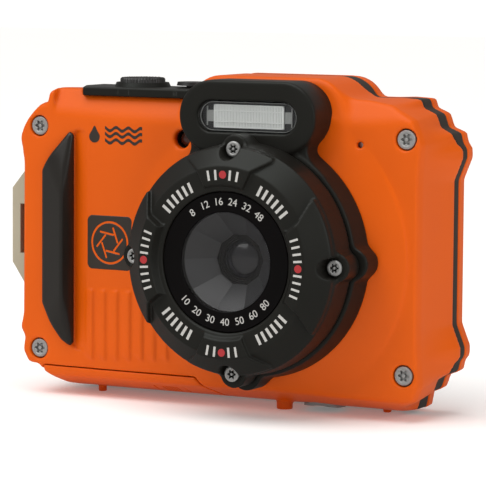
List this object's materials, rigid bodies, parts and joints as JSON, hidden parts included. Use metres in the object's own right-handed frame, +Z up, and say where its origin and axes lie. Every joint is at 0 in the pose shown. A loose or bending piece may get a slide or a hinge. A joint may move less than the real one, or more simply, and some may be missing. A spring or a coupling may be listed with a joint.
{
  "type": "action camera",
  "caption": "Rugged waterproof compact camera: stepped-corner casing, protruding bolted lens port, flash hood, finger grip, strap lug, keys, screen and hinged battery door.",
  "frame": {"origin": "under the middle of the camera, on the surface that its feet stand on", "axes": "+X to the viewer's right when facing the lens, -Y the way the lens looks, +Z up"},
  "size_m": [0.113, 0.048, 0.0781],
  "materials": {
    "orange_plastic": "fine-grained moulded polycarbonate",
    "black_plastic": "satin moulded plastic",
    "gloss_black": "polished",
    "grip_rubber": "satin elastomer",
    "seal_rubber": "smooth",
    "screw_steel": "satin stainless",
    "lug_metal": "bead-blasted champagne",
    "clear_glass": "polished, coated",
    "lens_glass": "polished, coated",
    "flash_clear": "clear ribbed plastic",
    "reflector": "mirror",
    "tube_glass": "clear",
    "barrel_black": "dead matt",
    "pcb_green": "solder resist",
    "sheet_metal": "plain",
    "lcd_black": "polished",
    "pack_grey": "wrapped cell",
    "card_blue": "moulded",
    "lamp_red": "tinted",
    "lamp_green": "tinted",
    "key_black": "satin moulded plastic",
    "key_red": "satin moulded plastic"
  },
  "bodies": {
    "camera": {"front_shell": "orange_plastic", "rear_shell": "orange_plastic", "shell_gasket": "seal_rubber", "top_plate": "black_plastic", "shutter_collar": "black_plastic", "grip_pad": "grip_rubber", "front_badge": "black_plastic", "lens_base": "black_plastic", "lens_bezel": "black_plastic", "bezel_seal": "seal_rubber", "bezel_screws": "screw_steel", "name_ring": "gloss_black", "port_glass": "clear_glass", "port_seal": "seal_rubber", "lens_barrel": "barrel_black", "front_element": "lens_glass", "guide_rods": "screw_steel", "zoom_motor": "sheet_metal", "sensor_board": "pcb_green", "image_sensor": "lcd_black", "chassis": "sheet_metal", "main_board": "pcb_green", "lcd_panel": "lcd_black", "lcd_window": "lcd_black", "battery_case": "barrel_black", "battery": "pack_grey", "card_slot": "sheet_metal", "memory_card": "card_blue", "usb_port": "sheet_metal", "flash_window": "flash_clear", "flash_reflector": "reflector", "flash_tube": "tube_glass", "flash_capacitor": "pack_grey", "af_lamp": "lamp_red", "microphone": "sheet_metal", "speaker": "barrel_black", "top_switches": "pcb_green", "rear_switches": "pcb_green", "status_lamp": "lamp_green", "corner_screws": "screw_steel", "tripod_socket": "screw_steel", "strap_lug": "lug_metal", "door_pin": "screw_steel", "rocker_pin": "screw_steel"},
    "battery_door": {"battery_door": "orange_plastic", "door_seal": "seal_rubber"},
    "latch": {"door_latch": "orange_plastic"},
    "shutter": {"shutter_button": "key_black"},
    "power": {"power_button": "key_black"},
    "play": {"play_button": "key_black"},
    "video": {"video_button": "key_red"},
    "menu": {"menu_button": "key_black"},
    "delete": {"delete_button": "key_black"},
    "pad": {"direction_pad": "key_black"},
    "ok": {"ok_button": "key_black"},
    "zoom_lever": {"zoom_rocker": "key_black"},
    "zoom_cell": {"zoom_group": "barrel_black"},
    "focus_cell": {"focus_group": "barrel_black"}
  },
  "joints": [
    {"name": "battery_door_hinge", "type": "hinge", "parent": "camera", "child": "battery_door", "pos_m": [-0.023, 0.0126, 0.00225], "axis": [1, 0, 0], "range_deg": [0, 85]},
    {"name": "door_latch_slide", "type": "slide", "parent": "battery_door", "child": "latch", "axis": [-1, 0, 0], "range_m": [0, 0.003]},
    {"name": "shutter_press", "type": "slide", "parent": "camera", "child": "shutter", "axis": [0, 0, -1], "range_m": [0, 0.0006], "stiffness_N_per_m": 300},
    {"name": "power_press", "type": "slide", "parent": "camera", "child": "power", "axis": [0, 0, -1], "range_m": [0, 0.0004], "stiffness_N_per_m": 300},
    {"name": "play_press", "type": "slide", "parent": "camera", "child": "play", "axis": [0, -1, 0], "range_m": [0, 0.0004], "stiffness_N_per_m": 300},
    {"name": "video_press", "type": "slide", "parent": "camera", "child": "video", "axis": [0, -1, 0], "range_m": [0, 0.0004], "stiffness_N_per_m": 300},
    {"name": "menu_press", "type": "slide", "parent": "camera", "child": "menu", "axis": [0, -1, 0], "range_m": [0, 0.0004], "stiffness_N_per_m": 300},
    {"name": "delete_press", "type": "slide", "parent": "camera", "child": "delete", "axis": [0, -1, 0], "range_m": [0, 0.0004], "stiffness_N_per_m": 300},
    {"name": "pad_press", "type": "slide", "parent": "camera", "child": "pad", "axis": [0, -1, 0], "range_m": [0, 0.0004], "stiffness_N_per_m": 300},
    {"name": "ok_press", "type": "slide", "parent": "camera", "child": "ok", "axis": [0, -1, 0], "range_m": [0, 0.0004], "stiffness_N_per_m": 300},
    {"name": "zoom_rock", "type": "hinge", "parent": "camera", "child": "zoom_lever", "pos_m": [-0.034, 0.0213, 0.064], "axis": [0, 0, 1], "range_deg": [-3, 3], "stiffness_Nm_per_rad": 0.02},
    {"name": "zoom_travel", "type": "slide", "parent": "camera", "child": "zoom_cell", "axis": [0, 1, 0], "range_m": [0, 0.006]},
    {"name": "focus_travel", "type": "slide", "parent": "camera", "child": "focus_cell", "axis": [0, 1, 0], "range_m": [-0.0015, 0.0015]}
  ]
}
